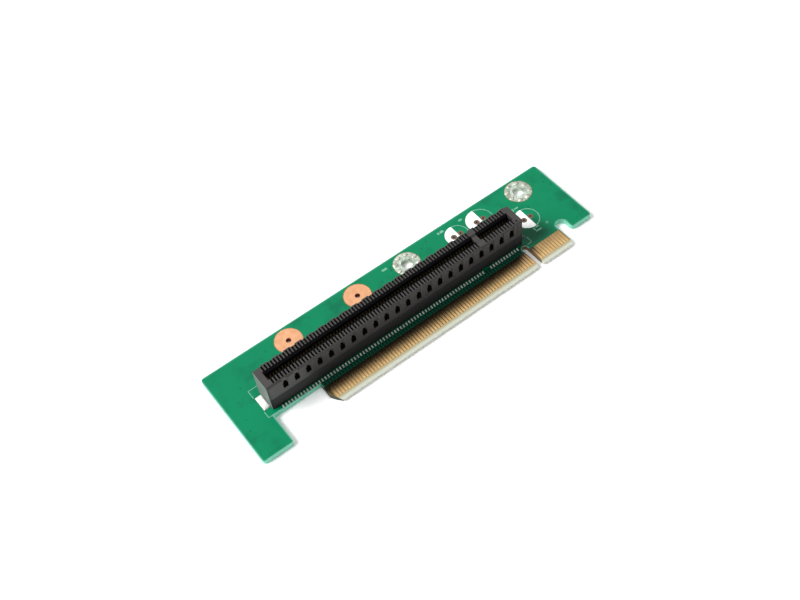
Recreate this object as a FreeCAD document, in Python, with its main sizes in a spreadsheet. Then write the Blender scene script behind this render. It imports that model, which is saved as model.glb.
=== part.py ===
"""PCI Express riser card: a green board with a sixteen-lane card edge below and a
sixteen-lane slot standing on it, drawn lying flat with the component side up.

The origin is the middle of the board's outline at its underside, X runs along the
board towards the short end of the slot and Y towards the straight long edge.
All sizes are millimetres.
"""
import FreeCAD, Part
import os
import Sketcher
from FreeCAD import Vector

doc = FreeCAD.newDocument("RiserCard")

# --------------------------------------------------------------------------
# Driving dimensions
# --------------------------------------------------------------------------
DIMENSIONS = {
    "Board": {
        "board_length": 122.1,
        "board_width": 33.1,
        "board_thick": 1.57,
        "copper_thick": 0.04,
        "corner_radius": 1.1,
        "lower_edge_y": -6.2,
        "leg_width": 9.8,
        "tab_left_x": -35.75,
        "tab_right_x": 49.85,
        "tab_tip_y": -14.1,
        "tab_bevel_run": 1.45,
        "tab_bevel_rise": 0.55,
        "tab_lead_run": 2.1,
        "tab_lead_rise": 3.4,
        "tab_corner": 0.9,
        "edge_key_x": 37.4,
        "edge_key_width": 1.9,
        "edge_key_top_y": -5.8,
        "edge_key_corner": 0.5,
        "hook_width": 3.6,
        "hook_top_y": -5.05,
        "lobe_bottom_y": -9.55,
    },
    "Contacts": {
        "pitch": 1.0,
        "long_count": 71,
        "short_count": 11,
        "key_offset": 1.5,
        "finger_width": 0.7,
        "finger_length": 4.8,
        "contact_width": 0.42,
        "contact_thick": 0.2,
        "foot_reach": 4.85,
        "bend_reach": 2.35,
        "touch_reach": 0.58,
        "touch_rise": 7.5,
        "tip_reach": 1.3,
        "tip_rise": 8.75,
    },
    "Slot": {
        "slot_key_x": 23.95,
        "slot_mid_y": -1.0,
        "slot_height": 10.6,
        "slot_width": 7.6,
        "slot_end_margin": 1.95,
        "rim_ease_run": 0.45,
        "rim_ease_rise": 0.7,
        "card_gap": 1.8,
        "card_floor": 2.4,
        "floor_ledge": 0.15,
        "card_end_gap": 0.8,
        "key_web": 1.7,
        "key_web_drop": 0.5,
        "lead_in": 0.65,
        "chamber_play": 0.07,
        "chamber_outer": 3.3,
        "foot_relief": 0.5,
        "end_corner": 0.5,
        "panel_depth": 0.15,
        "panel_low": 4.8,
        "panel_high": 9.5,
        "window_pitch": 3.75,
        "window_width": 1.55,
        "window_count": 22,
        "window_first_x": 10.1,
        "window_low": 6.2,
        "window_high": 8.3,
        "window_depth": 0.38,
        "groove_depth": 0.25,
        "mark_size": 0.6,
        "mark_depth": 0.4,
    },
    "HoldDown": {
        "tab_foot": 1.9,
        "tab_width": 4.4,
        "tab_thick": 0.3,
        "tab_rise": 4.0,
        "tab_setback": 0.45,
        "tab_play": 0.03,
        "tab_pad_margin": 0.25,
        "tab_pad_width": 5.1,
    },
    "Lands": {
        "land_y": 11.55,
        "mount_left_x": 7.6,
        "mount_right_x": 50.35,
        "mount_bore": 3.5,
        "mount_land": 8.3,
        "probe_left_x": -34.55,
        "probe_right_x": -10.4,
        "probe_bore": 1.6,
        "probe_land": 8.2,
        "plating": 0.05,
        "cap_one_x": 25.55,
        "cap_one_y": 10.3,
        "cap_two_x": 34.3,
        "cap_two_y": 10.35,
        "cap_three_x": 45.5,
        "cap_three_y": 1.7,
        "cap_pitch": 2.5,
        "cap_bore": 0.75,
    },
}

sheet = doc.addObject("Spreadsheet::Sheet", "Dim")
row = 1
for group, cells in DIMENSIONS.items():
    sheet.set(f"A{row}", group)
    for alias, value in cells.items():
        row += 1
        sheet.set(f"A{row}", alias.replace("_", " "))
        sheet.set(f"B{row}", str(value))
        sheet.setAlias(f"B{row}", alias)
    row += 2
doc.recompute()

# Derived lengths, written once as expressions of the driving ones
HALF_LENGTH = "Dim.board_length / 2"
HALF_WIDTH = "Dim.board_width / 2"
BOARD_TOP = "(Dim.copper_thick + Dim.board_thick)"
LEG_RIGHT = f"(Dim.leg_width - {HALF_LENGTH})"
HOOK_RIGHT = "(Dim.tab_right_x + Dim.hook_width)"
HOOK_MID = "(Dim.tab_right_x + Dim.hook_width / 2)"
FINGER_LOW = "(Dim.tab_tip_y + Dim.tab_bevel_run)"
FINGER_HIGH = f"({FINGER_LOW} + Dim.finger_length)"
LONG_SPAN = "(Dim.key_offset + (Dim.long_count - 1) * Dim.pitch)"
SHORT_SPAN = "(Dim.key_offset + (Dim.short_count - 1) * Dim.pitch)"
CARD_LEFT = f"(-{LONG_SPAN} - Dim.card_end_gap)"
CARD_RIGHT = f"({SHORT_SPAN} + Dim.card_end_gap)"
SLOT_LEFT = f"({CARD_LEFT} - Dim.slot_end_margin)"
SLOT_RIGHT = f"({CARD_RIGHT} + Dim.slot_end_margin)"
SLOT_HALF = "Dim.slot_width / 2"
CHAMBER_WIDTH = "Dim.contact_width + 2 * Dim.chamber_play"
CLEAR = 1.0  # how far a cutting profile runs past the stock


def number(expression):
    """Return the value of an expression of sheet cells, as a plain float."""
    value = sheet.evalExpression(expression)
    return float(getattr(value, "Value", value))


# --------------------------------------------------------------------------
# Sketch and feature helpers
# --------------------------------------------------------------------------
def new_body(label):
    """Add an empty body whose label names the sub-part."""
    body = doc.addObject("PartDesign::Body", label)
    body.Label = label
    return body


def place(item, x="0", y="0", z="0"):
    """Bind an object's position to expressions of the sheet."""
    for axis, expression in zip("xyz", (x, y, z)):
        item.setExpression(f"Placement.Base.{axis}", str(expression))


def new_sketch(body, role, offset="0"):
    """Attach a sketch to one of the body's own origin planes, moved along its normal."""
    sketch = body.newObject("Sketcher::SketchObject", body.Label + "_sketch")
    plane = [f for f in body.Origin.OriginFeatures if f.Role == role][0]
    sketch.AttachmentSupport = [(plane, "")]
    sketch.MapMode = "FlatFace"
    sketch.setExpression("AttachmentOffset.Base.z", str(offset))
    return sketch


def pin(sketch, geometry, vertex, x, y):
    """Fix one vertex of a sketch at expressions of the sheet."""
    for kind, expression in (("DistanceX", x), ("DistanceY", y)):
        if expression is None:
            continue
        index = sketch.addConstraint(
            Sketcher.Constraint(kind, -1, 1, geometry, vertex, number(expression)))
        sketch.setExpression(f"Constraints[{index}]", str(expression))


def add_polygon(sketch, corners):
    """Draw a closed polygon whose corners are pairs of expressions."""
    points = [Vector(number(x), number(y), 0) for x, y in corners]
    lines = []
    for start, end in zip(points, points[1:] + points[:1]):
        lines.append(sketch.addGeometry(Part.LineSegment(start, end), False))
    for line, following in zip(lines, lines[1:] + lines[:1]):
        sketch.addConstraint(Sketcher.Constraint("Coincident", line, 2, following, 1))
    for line, (x, y) in zip(lines, corners):
        pin(sketch, line, 1, x, y)


def add_rectangle(sketch, left, right, low, high):
    """Draw a rectangle between four expressions."""
    add_polygon(sketch, [(left, low), (right, low), (right, high), (left, high)])


def add_circle(sketch, x, y, diameter):
    """Draw a circle at an expression-bound centre."""
    centre = Vector(number(x), number(y), 0)
    shape = Part.Circle(centre, Vector(0, 0, 1), number(diameter) / 2)
    circle = sketch.addGeometry(shape, False)
    pin(sketch, circle, 3, x, y)
    index = sketch.addConstraint(Sketcher.Constraint("Diameter", circle, number(diameter)))
    sketch.setExpression(f"Constraints[{index}]", str(diameter))


def add_round_slot(sketch, middle, width, mouth, apex):
    """Draw an upright slot that is open below and ends in a half circle above."""
    half = f"({width}) / 2"
    left = f"{middle} - {half}"
    right = f"{middle} + {half}"
    spring = f"{apex} - {half}"
    corner = [Vector(number(x), number(y), 0) for x, y in
              ((left, spring), (left, mouth), (right, mouth), (right, spring))]
    lines = [sketch.addGeometry(Part.LineSegment(a, b), False)
             for a, b in zip(corner, corner[1:])]
    centre = Vector(number(middle), number(spring), 0)
    circle = Part.Circle(centre, Vector(0, 0, 1), number(half))
    arc = sketch.addGeometry(Part.ArcOfCircle(circle, 0, 3.14159265), False)
    for a, va, b, vb in ((lines[0], 2, lines[1], 1), (lines[1], 2, lines[2], 1),
                         (lines[2], 2, arc, 1), (arc, 2, lines[0], 1)):
        sketch.addConstraint(Sketcher.Constraint("Coincident", a, va, b, vb))
    pin(sketch, lines[0], 2, left, mouth)
    pin(sketch, lines[1], 2, right, mouth)
    pin(sketch, lines[0], 1, left, spring)
    pin(sketch, arc, 3, middle, spring)
    pin(sketch, lines[2], 2, None, spring)


def pad(body, sketch, length, midplane=False):
    """Raise a sketch into material along its plane's normal."""
    feature = body.newObject("PartDesign::Pad", body.Label + "_pad")
    feature.Profile = sketch
    feature.Midplane = midplane
    feature.setExpression("Length", str(length))
    return feature


def pocket(body, sketch, length, midplane=False, backwards=False):
    """Cut a sketch out of the body and check that the cut removed something."""
    doc.recompute()
    before = body.Shape.Volume
    feature = body.newObject("PartDesign::Pocket", body.Label + "_pocket")
    feature.Profile = sketch
    feature.Midplane = midplane
    feature.Reversed = backwards
    feature.setExpression("Length", str(length))
    doc.recompute()
    if body.Shape.Volume > before - 1e-6:
        raise RuntimeError(f"{feature.Label} of {body.Label} cuts nothing")
    return feature


def repeat(body, features, count, step):
    """Repeat features towards -X, count times in all and step apart."""
    pattern = body.newObject("PartDesign::LinearPattern", body.Label + "_pattern")
    pattern.Originals = features
    axis = [f for f in body.Origin.OriginFeatures if f.Role == "X_Axis"][0]
    pattern.Direction = (axis, [""])
    pattern.Reversed = True
    pattern.setExpression("Length", f"({count} - 1) * {step}")
    pattern.setExpression("Occurrences", count)
    body.Tip = pattern
    return pattern


def upright_edges(shape, points):
    """Name the upright edges that pass through the given XY points."""
    names = []
    for x, y in points:
        for index, edge in enumerate(shape.Edges):
            ends = [v.Point for v in edge.Vertexes]
            if len(ends) == 2 and all(abs(p.x - x) + abs(p.y - y) < 1e-4 for p in ends):
                names.append(f"Edge{index + 1}")
    return names


def round_corners(body, points, radius):
    """Fillet the upright edges of the body at the given pairs of expressions."""
    doc.recompute()
    base = body.Tip
    places = [(number(x), number(y)) for x, y in points]
    names = upright_edges(base.Shape, places)
    if len(names) != len(places):
        raise RuntimeError(f"{body.Label} has {len(names)} corners of {len(places)}")
    feature = body.newObject("PartDesign::Fillet", body.Label + "_fillet")
    feature.Base = (base, names)
    feature.setExpression("Radius", radius)
    return feature


# --------------------------------------------------------------------------
# Printed board
# --------------------------------------------------------------------------
def cut_outline(body, length):
    """Cut the leg, the card tab, the hook and the lobe out of a board-sized blank."""
    low = f"(-{HALF_WIDTH} - {CLEAR})"
    bay = new_sketch(body, "XY_Plane")
    add_polygon(bay, [
        (LEG_RIGHT, low),
        ("Dim.tab_right_x", low),
        ("Dim.tab_right_x", "Dim.tab_tip_y"),
        ("Dim.tab_left_x + Dim.tab_lead_run", "Dim.tab_tip_y"),
        ("Dim.tab_left_x", "Dim.tab_tip_y + Dim.tab_lead_rise"),
        ("Dim.tab_left_x", "Dim.lower_edge_y"),
        (LEG_RIGHT, "Dim.lower_edge_y"),
    ])
    pocket(body, bay, length, backwards=True)
    lobe = new_sketch(body, "XY_Plane")
    add_rectangle(lobe, "Dim.tab_right_x", f"{HALF_LENGTH} + {CLEAR}", low,
                  "Dim.lobe_bottom_y")
    pocket(body, lobe, length, backwards=True)
    hook = new_sketch(body, "XY_Plane")
    add_round_slot(hook, HOOK_MID, "Dim.hook_width", low, "Dim.hook_top_y")
    pocket(body, hook, length, backwards=True)
    key = new_sketch(body, "XY_Plane")
    add_round_slot(key, "Dim.edge_key_x", "Dim.edge_key_width", low,
                   "Dim.edge_key_top_y")
    pocket(body, key, length, backwards=True)


def cut_circles(body, circles, length):
    """Cut round openings given as (x, y, diameter) expressions."""
    sketch = new_sketch(body, "XY_Plane")
    for x, y, diameter in circles:
        add_circle(sketch, x, y, diameter)
    pocket(body, sketch, length, backwards=True)


MOUNTS = [("Dim.mount_left_x", "Dim.land_y"), ("Dim.mount_right_x", "Dim.land_y")]
PROBES = [("Dim.probe_left_x", "Dim.land_y"), ("Dim.probe_right_x", "Dim.land_y")]
CAPACITORS = [("Dim.cap_one_x", "Dim.cap_one_y"), ("Dim.cap_two_x", "Dim.cap_two_y"),
              ("Dim.cap_three_x", "Dim.cap_three_y")]
CAP_PINS = [(f"{x} + {side} * Dim.cap_pitch / 2", y)
            for x, y in CAPACITORS for side in (-1, 1)]


def sized(places, diameter):
    """Give every place the same diameter."""
    return [(x, y, diameter) for x, y in places]


def make_laminate():
    """Build the glass-epoxy board with its drilled holes and its bevelled card tab."""
    board = new_body("pcb_laminate")
    blank = new_sketch(board, "XY_Plane")
    add_rectangle(blank, f"-{HALF_LENGTH}", HALF_LENGTH, f"-{HALF_WIDTH}", HALF_WIDTH)
    pad(board, blank, "Dim.board_thick")
    cut_outline(board, "Dim.board_thick")
    round_corners(board, [
        (f"-{HALF_LENGTH}", HALF_WIDTH), (HALF_LENGTH, HALF_WIDTH),
        (f"-{HALF_LENGTH}", f"-{HALF_WIDTH}"), (LEG_RIGHT, f"-{HALF_WIDTH}"),
        (LEG_RIGHT, "Dim.lower_edge_y"), (HALF_LENGTH, "Dim.lobe_bottom_y"),
        (HOOK_RIGHT, "Dim.lobe_bottom_y"),
    ], "Dim.corner_radius")
    round_corners(board, [("Dim.tab_right_x", "Dim.tab_tip_y")], "Dim.tab_corner")
    half = "Dim.edge_key_width / 2"
    round_corners(board, [(f"Dim.edge_key_x {side} {half}", "Dim.tab_tip_y")
                          for side in "-+"], "Dim.edge_key_corner")
    cut_circles(board, sized(MOUNTS, "Dim.mount_bore + 2 * Dim.plating")
                + sized(PROBES, "Dim.probe_bore + 2 * Dim.plating")
                + sized(CAP_PINS, "Dim.cap_bore"), "Dim.board_thick")
    bevel = new_sketch(board, "YZ_Plane", "Dim.tab_left_x - 0.1")
    tip, root = "Dim.tab_tip_y", FINGER_LOW
    for face, inward in (("0", 1), ("Dim.board_thick", -1)):
        add_polygon(bevel, [
            (f"{tip} - 0.5", f"{face} - {inward} * 0.5"),
            (f"{root} + 0.5 * Dim.tab_bevel_run / Dim.tab_bevel_rise",
             f"{face} - {inward} * 0.5"),
            (f"{tip} - 0.5", f"{face} + {inward} * Dim.tab_bevel_rise "
             f"* (1 + 0.5 / Dim.tab_bevel_run)"),
        ])
    pocket(board, bevel, "Dim.tab_right_x - Dim.tab_left_x + 0.2", backwards=True)
    place(board, z="Dim.copper_thick")
    return board


def make_fingers(label, z):
    """Build one face of gold contact fingers along the card tab."""
    fingers = new_body(label)
    start = new_sketch(fingers, "XY_Plane")
    half = "Dim.finger_width / 2"
    add_rectangle(start, f"-Dim.key_offset - {half}", f"-Dim.key_offset + {half}",
                  FINGER_LOW, FINGER_HIGH)
    first = pad(fingers, start, "Dim.copper_thick")
    repeat(fingers, [first], "Dim.long_count", "Dim.pitch")
    start = new_sketch(fingers, "XY_Plane")
    add_rectangle(start, f"{SHORT_SPAN} - {half}", f"{SHORT_SPAN} + {half}",
                  FINGER_LOW, FINGER_HIGH)
    second = pad(fingers, start, "Dim.copper_thick")
    repeat(fingers, [second], "Dim.short_count", "Dim.pitch")
    place(fingers, "Dim.edge_key_x", z=z)
    return fingers


# --------------------------------------------------------------------------
# Plated holes
# --------------------------------------------------------------------------
def make_barrel(label, place_xy, bore, land):
    """Turn one plated barrel with a round land on each face of the board."""
    barrel = new_body(label)
    profile = new_sketch(barrel, "XZ_Plane")
    inner, outer, rim = f"{bore} / 2", f"({bore} / 2 + Dim.plating)", f"{land} / 2"
    top = f"({BOARD_TOP} + Dim.copper_thick)"
    add_polygon(profile, [(inner, "0"), (rim, "0"), (rim, "Dim.copper_thick"),
                          (outer, "Dim.copper_thick"), (outer, BOARD_TOP),
                          (rim, BOARD_TOP), (rim, top), (inner, top)])
    turn = barrel.newObject("PartDesign::Revolution", label + "_turn")
    turn.Profile = profile
    turn.ReferenceAxis = (profile, ["V_Axis"])
    turn.Angle = 360
    place(barrel, *place_xy)
    return barrel


# --------------------------------------------------------------------------
# Slot
# --------------------------------------------------------------------------
def along_x(body, loops, middle, length):
    """Cut closed YZ outlines, centred on an X position, through a length."""
    sketch = new_sketch(body, "YZ_Plane", middle)
    for loop in loops:
        add_polygon(sketch, loop)
    return pocket(body, sketch, length, midplane=True)


def both_sides(profile):
    """Mirror a YZ outline across the slot's middle plane."""
    return [profile, [(f"-({y})", z) for y, z in reversed(profile)]]


def make_housing():
    """Mould the slot's housing, with its chambers, key web and windows."""
    housing = new_body("slot_housing")
    block = new_sketch(housing, "XY_Plane")
    add_rectangle(block, SLOT_LEFT, SLOT_RIGHT, f"-{SLOT_HALF}", SLOT_HALF)
    pad(housing, block, "Dim.slot_height")
    round_corners(housing, [(x, f"{side}{SLOT_HALF}") for x in (SLOT_LEFT, SLOT_RIGHT)
                            for side in ("-", "")], "Dim.end_corner")
    high = f"Dim.slot_height + {CLEAR}"

    # the card gap on both sides of the key web, with its lead-in
    half = "Dim.card_gap / 2"
    mouth = f"({half} + Dim.lead_in)"
    rise = f"(Dim.slot_height - Dim.lead_in)"
    web = "Dim.key_web / 2"
    for left, right in ((CARD_LEFT, f"-{web}"), (web, CARD_RIGHT)):
        along_x(housing, [[
            (f"-{half}", "Dim.card_floor"), (half, "Dim.card_floor"), (half, rise),
            (f"{mouth} + {CLEAR}", high), (f"-{mouth} - {CLEAR}", high), (f"-{half}", rise),
        ]], f"({left} + {right}) / 2", f"{right} - ({left})")
    along_x(housing, [[
        (f"-{half} - Dim.lead_in + Dim.key_web_drop", "Dim.slot_height - Dim.key_web_drop"),
        (f"{half} + Dim.lead_in - Dim.key_web_drop", "Dim.slot_height - Dim.key_web_drop"),
        (f"{mouth} + {CLEAR}", high), (f"-{mouth} - {CLEAR}", high),
    ]], "0", "Dim.key_web")

    # the wall under the rim leans in a little between the end blocks
    panel = both_sides([
        (SLOT_HALF, "Dim.panel_low"),
        (f"{SLOT_HALF} + {CLEAR}", "Dim.panel_low"),
        (f"{SLOT_HALF} + {CLEAR}", "Dim.panel_high"),
        (f"{SLOT_HALF} - Dim.panel_depth", "Dim.panel_high"),
    ])
    along_x(housing, panel, f"({CARD_LEFT} + {CARD_RIGHT}) / 2",
            f"{CARD_RIGHT} - {CARD_LEFT}")

    # the rim's outer edges are eased along the whole length
    along_x(housing, both_sides([
        (f"{SLOT_HALF} - Dim.rim_ease_run", "Dim.slot_height"),
        (SLOT_HALF, "Dim.slot_height - Dim.rim_ease_rise"),
        (f"{SLOT_HALF} + {CLEAR}", "Dim.slot_height - Dim.rim_ease_rise"),
        (f"{SLOT_HALF} + {CLEAR}", high), (f"{SLOT_HALF} - Dim.rim_ease_run", high),
    ]), f"({SLOT_LEFT} + {SLOT_RIGHT}) / 2", f"{SLOT_RIGHT} - ({SLOT_LEFT}) + {CLEAR}")

    # a channel under each row, open below, and clearance under the walls for the feet
    ledge = f"{half} + Dim.floor_ledge"
    channel = both_sides([
        (ledge, f"-{CLEAR}"), (f"{SLOT_HALF} + {CLEAR}", f"-{CLEAR}"),
        (f"{SLOT_HALF} + {CLEAR}", "Dim.foot_relief"),
        ("Dim.chamber_outer", "Dim.foot_relief"), ("Dim.chamber_outer", "Dim.card_floor"),
        (ledge, "Dim.card_floor"),
    ])
    along_x(housing, channel, f"({CARD_LEFT} + {CARD_RIGHT}) / 2",
            f"{CARD_RIGHT} - {CARD_LEFT}")

    # slots in the end blocks for the hold-down tabs
    foot = "Dim.copper_thick + Dim.tab_thick + Dim.tab_play"
    tip = "Dim.copper_thick + Dim.tab_rise + Dim.tab_play"
    for end, sign in ((SLOT_LEFT, 1), (SLOT_RIGHT, -1)):
        inner = f"{end} + {sign} * (Dim.tab_setback + Dim.tab_thick + 2 * Dim.tab_play)"
        outer = f"{end} + {sign} * Dim.tab_setback"
        blade = new_sketch(housing, "XZ_Plane")
        add_polygon(blade, [
            (f"{end} - {sign} * {CLEAR}", f"-{CLEAR}"), (inner, f"-{CLEAR}"),
            (inner, tip), (outer, tip),
            (outer, foot), (f"{end} - {sign} * {CLEAR}", foot),
        ])
        pocket(housing, blade, "Dim.tab_width + 2 * Dim.tab_play", midplane=True)

    # windows in both walls, each with a shallow groove up to the rim
    deep = f"{SLOT_HALF} - Dim.window_depth"
    groove = f"{SLOT_HALF} - Dim.groove_depth"
    window = along_x(housing, both_sides([
        (deep, "Dim.window_low"), (f"{SLOT_HALF} + {CLEAR}", "Dim.window_low"),
        (f"{SLOT_HALF} + {CLEAR}", high), (groove, high), (groove, "Dim.window_high"),
        (deep, "Dim.window_high"),
    ]), "Dim.window_first_x", "Dim.window_width")
    repeat(housing, [window], "Dim.window_count", "Dim.window_pitch")

    # one chamber for each contact, open to the card gap and at the rim
    chamber = both_sides([
        (half, "Dim.card_floor"), ("Dim.chamber_outer", "Dim.card_floor"),
        ("Dim.chamber_outer", high), (half, high),
    ])
    long_first = along_x(housing, chamber, "-Dim.key_offset", CHAMBER_WIDTH)
    repeat(housing, [long_first], "Dim.long_count", "Dim.pitch")
    short_first = along_x(housing, chamber, SHORT_SPAN, CHAMBER_WIDTH)
    repeat(housing, [short_first], "Dim.short_count", "Dim.pitch")

    # a small moulded mark beside position one
    mark = new_sketch(housing, "XY_Plane", "Dim.slot_height")
    add_rectangle(mark, f"{SHORT_SPAN} + 0.9", f"{SHORT_SPAN} + 0.9 + Dim.mark_size",
                  "-Dim.chamber_outer + 0.3", "-Dim.chamber_outer + 0.3 + Dim.mark_size")
    pocket(housing, mark, "Dim.mark_depth")
    place(housing, "Dim.slot_key_x", "Dim.slot_mid_y", BOARD_TOP)
    return housing


def make_contacts(label, side):
    """Stamp one row of spring contacts, each with its foot out beyond the wall."""
    contacts = new_body(label)
    thick = "Dim.contact_thick"
    profile = [
        ("Dim.foot_reach", "0"), ("Dim.foot_reach", thick),
        ("Dim.bend_reach", thick),
        (f"Dim.touch_reach + {thick}", "Dim.touch_rise"),
        ("Dim.tip_reach", "Dim.tip_rise"), ("Dim.touch_reach", "Dim.touch_rise"),
        (f"Dim.bend_reach - {thick}", "0"),
    ]
    outline = [(f"{side} * ({y})", z) for y, z in profile]
    for middle, count in (("-Dim.key_offset", "Dim.long_count"),
                          (SHORT_SPAN, "Dim.short_count")):
        strip = new_sketch(contacts, "YZ_Plane", middle)
        add_polygon(strip, outline)
        first = pad(contacts, strip, "Dim.contact_width", midplane=True)
        repeat(contacts, [first], count, "Dim.pitch")
    place(contacts, "Dim.slot_key_x", "Dim.slot_mid_y", BOARD_TOP)
    return contacts


def make_hold_down(label, end, sign):
    """Bend the tab that solders one end of the housing to the board."""
    tab = new_body(label)
    inner = f"{end} + {sign} * (Dim.tab_setback + Dim.tab_play + Dim.tab_thick)"
    outer = f"{end} + {sign} * (Dim.tab_setback + Dim.tab_play)"
    toe = f"{end} - {sign} * Dim.tab_foot"
    profile = new_sketch(tab, "XZ_Plane")
    add_polygon(profile, [(toe, "0"), (inner, "0"), (inner, "Dim.tab_rise"),
                          (outer, "Dim.tab_rise"), (outer, "Dim.tab_thick"),
                          (toe, "Dim.tab_thick")])
    pad(tab, profile, "Dim.tab_width", midplane=True)
    place(tab, "Dim.slot_key_x", "Dim.slot_mid_y", f"{BOARD_TOP} + Dim.copper_thick")
    return tab


def make_tab_pads():
    """Lay the two tinned pads that the hold-down tabs are soldered to."""
    pads = new_body("hold_down_pads")
    sketch = new_sketch(pads, "XY_Plane")
    for end, sign in ((SLOT_LEFT, 1), (SLOT_RIGHT, -1)):
        toe = f"{end} - {sign} * (Dim.tab_foot + Dim.tab_pad_margin)"
        left, right = (toe, end) if sign > 0 else (end, toe)
        add_rectangle(sketch, left, right, "-Dim.tab_pad_width / 2",
                      "Dim.tab_pad_width / 2")
    pad(pads, sketch, "Dim.copper_thick")
    place(pads, "Dim.slot_key_x", "Dim.slot_mid_y", BOARD_TOP)
    return pads


# --------------------------------------------------------------------------
# Assembly
# --------------------------------------------------------------------------
NODES = [
    make_laminate(),
    make_fingers("edge_fingers_front", BOARD_TOP),
    make_fingers("edge_fingers_back", "0"),
    make_barrel("mount_barrel_left", MOUNTS[0], "Dim.mount_bore", "Dim.mount_land"),
    make_barrel("mount_barrel_right", MOUNTS[1], "Dim.mount_bore", "Dim.mount_land"),
    make_barrel("probe_barrel_left", PROBES[0], "Dim.probe_bore", "Dim.probe_land"),
    make_barrel("probe_barrel_right", PROBES[1], "Dim.probe_bore", "Dim.probe_land"),
    make_housing(),
    make_contacts("contact_row_near", -1),
    make_contacts("contact_row_far", 1),
    make_hold_down("hold_down_left", SLOT_LEFT, 1),
    make_hold_down("hold_down_right", SLOT_RIGHT, -1),
    make_tab_pads(),
]

doc.recompute()
for item in doc.Objects:
    if "Invalid" in item.State or "Error" in item.State:
        raise RuntimeError(f"{item.Label} did not build: {item.State}")
os.makedirs("parts", exist_ok=True)
for node in NODES:
    if node.Shape.isNull() or not node.Shape.isValid():
        raise RuntimeError(f"{node.Label} has no valid shape")
    node.Shape.exportStep(f"parts/{node.Label}.step")
    print(node.Label, len(node.Shape.Solids), round(node.Shape.Volume, 3))
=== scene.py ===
"""Looks of a PCI Express riser card: a green board lying flat, its slot and its card edge.

The board's face lies in the XY plane with the slot standing along +Z. Sizes are given in
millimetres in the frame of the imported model, and MM turns them into Blender's metres.
"""

import logging
import math
from dataclasses import dataclass
from enum import Enum

import bmesh
import bpy
from bmesh.types import BMEdge, BMesh, BMVert
from bpy.types import Material, Node, NodeSocket, NodeTree, Object
from mathutils import Euler, Matrix, Vector


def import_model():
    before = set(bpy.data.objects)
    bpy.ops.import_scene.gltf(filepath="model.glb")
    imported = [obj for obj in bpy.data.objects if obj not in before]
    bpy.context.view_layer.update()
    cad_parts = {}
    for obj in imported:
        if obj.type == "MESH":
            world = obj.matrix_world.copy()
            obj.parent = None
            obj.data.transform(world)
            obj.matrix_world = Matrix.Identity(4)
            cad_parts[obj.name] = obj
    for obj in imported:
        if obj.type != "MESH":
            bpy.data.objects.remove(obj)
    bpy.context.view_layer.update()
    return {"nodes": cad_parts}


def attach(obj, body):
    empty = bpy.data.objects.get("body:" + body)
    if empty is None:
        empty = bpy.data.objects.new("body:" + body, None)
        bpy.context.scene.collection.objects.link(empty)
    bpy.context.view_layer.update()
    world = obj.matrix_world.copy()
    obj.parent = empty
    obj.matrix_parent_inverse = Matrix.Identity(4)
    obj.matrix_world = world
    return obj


MM = 0.001
LOG = logging.getLogger("riser_card")

# places in millimetres: the board's face, its lands, and the middle of the slot's key
BOARD_TOP = 1.61
LAND_TOP = 1.65
SLOT_KEY_X = 23.95
SLOT_Y = -1.0
# X, Y and outline radius of the three places for capacitors, and their pins' pitch
CAPACITORS = ((25.55, 10.3, 3.8), (34.3, 10.35, 4.4), (45.5, 1.7, 3.85))
PIN_PITCH = 2.5
# how near two places have to be to count as one, in millimetres
NEARBY = 0.1

# how strongly every relief shows, and settings that many nodes share
RELIEF = 0.6
RGBA = {"data_type": "RGBA"}
SMOOTH = {"interpolation_type": "SMOOTHSTEP"}
TIMES = {"operation": "MULTIPLY"}
UP = (0, 0, 1)


# ---- Colour, nodes and meshes ----
def linear(code: str) -> tuple[float, float, float, float]:
    """Turn an sRGB hex colour into the linear values that the shader wants.

    Args:
        code: Six hex digits, with or without a leading hash.

    Returns:
        Red, green, blue and an alpha of one.
    """
    digits = code.lstrip("#")
    channels = [int(digits[i:i + 2], 16) / 255 for i in (0, 2, 4)]
    turned = [c / 12.92 if c <= 0.04045 else ((c + 0.055) / 1.055) ** 2.4 for c in channels]
    return (*turned, 1.0)


def feed(socket: NodeSocket, value: object) -> None:
    """Link something to an input socket, or set the socket's value.

    Args:
        socket: The input socket.
        value: A plain value, an sRGB hex colour, an output socket to link from, or a
            node whose first output in use is linked.
    """
    if isinstance(value, str):
        value = linear(value)
    if isinstance(value, Node):
        value = next(s for s in value.outputs if s.enabled)
    if isinstance(value, NodeSocket):
        socket.id_data.links.new(value, socket)
    else:
        socket.default_value = value


def node(tree: NodeTree, kind: str, settings: dict | None = None,
         inputs: dict | None = None) -> Node:
    """Add one node with its settings, its values and its links.

    Args:
        tree: The node tree to add to.
        kind: The node's type name after ShaderNode, such as Math.
        settings: Attributes of the node itself.
        inputs: Socket name or index to whatever feeds that socket.

    Returns:
        The new node.
    """
    made = tree.nodes.new("ShaderNode" + kind)
    for name, value in (settings or {}).items():
        setattr(made, name, value)
    for name, value in (inputs or {}).items():
        feed(made.inputs[name], value)
    return made


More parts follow.
